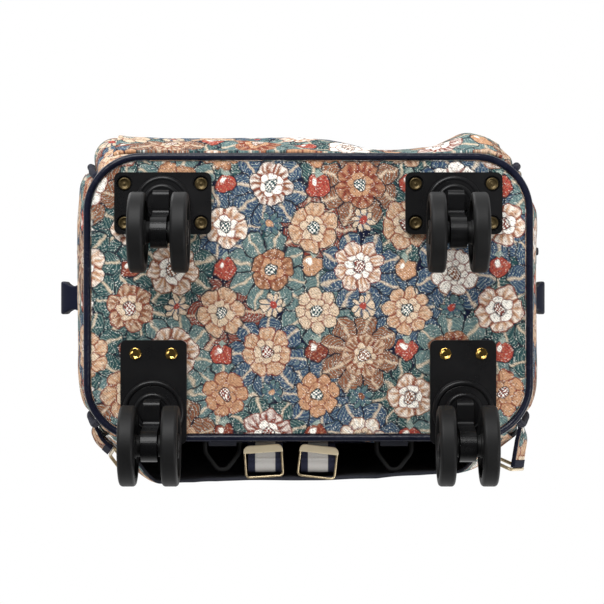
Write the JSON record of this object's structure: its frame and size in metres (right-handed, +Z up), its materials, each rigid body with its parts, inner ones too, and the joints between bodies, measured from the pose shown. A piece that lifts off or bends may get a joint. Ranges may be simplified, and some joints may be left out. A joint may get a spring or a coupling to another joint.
{
  "type": "rolling backpack",
  "caption": "Soft-sided rolling backpack on swivel twin-wheel casters, with telescopic handle, zipped compartment and front pocket, carrying handles and straps stowed behind a back sleeve.",
  "frame": {"origin": "middle of the overall width and depth, on the floor under the wheels", "axes": "+Z up through the telescopic handle, -Y towards the front pocket, +X to the right as seen from the front"},
  "size_m": [0.4018, 0.2575, 0.5265],
  "materials": {
    "tapestry": "woven jacquard cloth, matte",
    "base_stiffener": "matte board",
    "navy_piping": "glossy coated welt",
    "navy_leatherette": "smooth coated strap",
    "strap_padding": "padded cloth",
    "striped_webbing": "ribbed webbing",
    "gold_metal": "polished",
    "zip_tape": "woven tape and coil",
    "steel_pins": "plain",
    "black_plastic": "satin moulded",
    "button_plastic": "satin moulded",
    "wheel_rubber": "matte tread",
    "tube_aluminium": "anodised"
  },
  "bodies": {
    "bag": {"front_panel": "tapestry", "back_panel": "tapestry", "left_panel": "tapestry", "right_panel": "tapestry", "top_panel": "tapestry", "front_pocket": "tapestry", "back_sleeve": "tapestry", "strap_tabs": "tapestry", "base_panel": "tapestry", "base_board": "base_stiffener", "base_piping": "navy_piping", "front_piping": "navy_piping", "back_piping": "navy_piping", "side_handle_left": "navy_leatherette", "side_handle_right": "navy_leatherette", "top_handle": "navy_leatherette", "shoulder_strap_left": "strap_padding", "shoulder_strap_right": "strap_padding", "strap_webbing": "striped_webbing", "slide_buckles": "gold_metal", "strap_rings": "gold_metal", "plate_rivets": "gold_metal", "main_zip": "zip_tape", "pocket_zip": "zip_tape", "swivel_rivets": "steel_pins", "caster_plate_front_left": "black_plastic", "caster_plate_front_right": "black_plastic", "caster_plate_rear_left": "black_plastic", "caster_plate_rear_right": "black_plastic", "tube_foot": "black_plastic", "handle_bezel": "black_plastic", "outer_tubes": "tube_aluminium"},
    "caster_front_left": {"caster_yoke_front_left": "black_plastic", "caster_axle_front_left": "steel_pins"},
    "wheel_front_left_outer": {"wheel_front_left_outer": "wheel_rubber"},
    "wheel_front_left_inner": {"wheel_front_left_inner": "wheel_rubber"},
    "caster_front_right": {"caster_yoke_front_right": "black_plastic", "caster_axle_front_right": "steel_pins"},
    "wheel_front_right_outer": {"wheel_front_right_outer": "wheel_rubber"},
    "wheel_front_right_inner": {"wheel_front_right_inner": "wheel_rubber"},
    "caster_rear_left": {"caster_yoke_rear_left": "black_plastic", "caster_axle_rear_left": "steel_pins"},
    "wheel_rear_left_outer": {"wheel_rear_left_outer": "wheel_rubber"},
    "wheel_rear_left_inner": {"wheel_rear_left_inner": "wheel_rubber"},
    "caster_rear_right": {"caster_yoke_rear_right": "black_plastic", "caster_axle_rear_right": "steel_pins"},
    "wheel_rear_right_outer": {"wheel_rear_right_outer": "wheel_rubber"},
    "wheel_rear_right_inner": {"wheel_rear_right_inner": "wheel_rubber"},
    "middle_stage": {"middle_tubes": "tube_aluminium"},
    "grip_stage": {"inner_tubes": "tube_aluminium", "grip": "black_plastic"},
    "button": {"release_button": "button_plastic"},
    "main_slider_left": {"main_slider_left": "gold_metal"},
    "main_pull_left": {"main_pull_left": "gold_metal"},
    "main_slider_right": {"main_slider_right": "gold_metal"},
    "main_pull_right": {"main_pull_right": "gold_metal"},
    "pocket_slider": {"pocket_slider": "gold_metal"},
    "pocket_pull": {"pocket_pull": "gold_metal"},
    "ring_left": {"delta_ring_left": "black_plastic"},
    "ring_right": {"delta_ring_right": "black_plastic"}
  },
  "joints": [
    {"name": "swivel_front_left", "type": "hinge", "parent": "bag", "child": "caster_front_left", "pos_m": [-0.1035, -0.06925, 0.06], "axis": [0, 0, 1], "continuous": true},
    {"name": "spin_front_left_outer", "type": "hinge", "parent": "caster_front_left", "child": "wheel_front_left_outer", "pos_m": [-0.1035, -0.04725, 0.028], "axis": [1, 0, 0], "continuous": true},
    {"name": "spin_front_left_inner", "type": "hinge", "parent": "caster_front_left", "child": "wheel_front_left_inner", "pos_m": [-0.1035, -0.04725, 0.028], "axis": [1, 0, 0], "continuous": true},
    {"name": "swivel_front_right", "type": "hinge", "parent": "bag", "child": "caster_front_right", "pos_m": [0.1035, -0.06925, 0.06], "axis": [0, 0, 1], "continuous": true},
    {"name": "spin_front_right_outer", "type": "hinge", "parent": "caster_front_right", "child": "wheel_front_right_outer", "pos_m": [0.1035, -0.04725, 0.028], "axis": [1, 0, 0], "continuous": true},
    {"name": "spin_front_right_inner", "type": "hinge", "parent": "caster_front_right", "child": "wheel_front_right_inner", "pos_m": [0.1035, -0.04725, 0.028], "axis": [1, 0, 0], "continuous": true},
    {"name": "swivel_rear_left", "type": "hinge", "parent": "bag", "child": "caster_rear_left", "pos_m": [-0.11, 0.0785, 0.06], "axis": [0, 0, 1], "continuous": true},
    {"name": "spin_rear_left_outer", "type": "hinge", "parent": "caster_rear_left", "child": "wheel_rear_left_outer", "pos_m": [-0.11, 0.1005, 0.028], "axis": [1, 0, 0], "continuous": true},
    {"name": "spin_rear_left_inner", "type": "hinge", "parent": "caster_rear_left", "child": "wheel_rear_left_inner", "pos_m": [-0.11, 0.1005, 0.028], "axis": [1, 0, 0], "continuous": true},
    {"name": "swivel_rear_right", "type": "hinge", "parent": "bag", "child": "caster_rear_right", "pos_m": [0.11, 0.0785, 0.06], "axis": [0, 0, 1], "continuous": true},
    {"name": "spin_rear_right_outer", "type": "hinge", "parent": "caster_rear_right", "child": "wheel_rear_right_outer", "pos_m": [0.11, 0.1005, 0.028], "axis": [1, 0, 0], "continuous": true},
    {"name": "spin_rear_right_inner", "type": "hinge", "parent": "caster_rear_right", "child": "wheel_rear_right_inner", "pos_m": [0.11, 0.1005, 0.028], "axis": [1, 0, 0], "continuous": true},
    {"name": "middle_stage_slide", "type": "slide", "parent": "bag", "child": "middle_stage", "axis": [0, 0, 1], "range_m": [0, 0.28]},
    {"name": "grip_slide", "type": "slide", "parent": "middle_stage", "child": "grip_stage", "axis": [0, 0, 1], "range_m": [0, 0.28]},
    {"name": "button_press", "type": "slide", "parent": "grip_stage", "child": "button", "axis": [0, 0, -1], "range_m": [0, 0.004], "stiffness_N_per_m": 300, "springref_m": -0.003},
    {"name": "main_zip_left", "type": "slide", "parent": "bag", "child": "main_slider_left", "axis": [-1, 0, 0], "range_m": [0, 0.11]},
    {"name": "main_pull_left_lift", "type": "hinge", "parent": "main_slider_left", "child": "main_pull_left", "pos_m": [-0.0098, -0.0385, 0.502], "axis": [0, 1, 0], "range_deg": [0, 85]},
    {"name": "main_zip_right", "type": "slide", "parent": "bag", "child": "main_slider_right", "axis": [1, 0, 0], "range_m": [0, 0.11]},
    {"name": "main_pull_right_lift", "type": "hinge", "parent": "main_slider_right", "child": "main_pull_right", "pos_m": [0.0098, -0.0385, 0.502], "axis": [0, -1, 0], "range_deg": [0, 85]},
    {"name": "pocket_zip_slide", "type": "slide", "parent": "bag", "child": "pocket_slider", "axis": [-1, 0, 0], "range_m": [0, 0.2]},
    {"name": "pocket_pull_lift", "type": "hinge", "parent": "pocket_slider", "child": "pocket_pull", "pos_m": [0.10769, -0.12675, 0.366], "axis": [0, 0, 1], "range_deg": [0, 85]},
    {"name": "ring_left_swing", "type": "hinge", "parent": "bag", "child": "ring_left", "pos_m": [-0.062, 0.10148, 0.09], "axis": [1, 0, 0], "range_deg": [-80, 25]},
    {"name": "ring_right_swing", "type": "hinge", "parent": "bag", "child": "ring_right", "pos_m": [0.062, 0.10148, 0.09], "axis": [1, 0, 0], "range_deg": [-80, 25]}
  ]
}
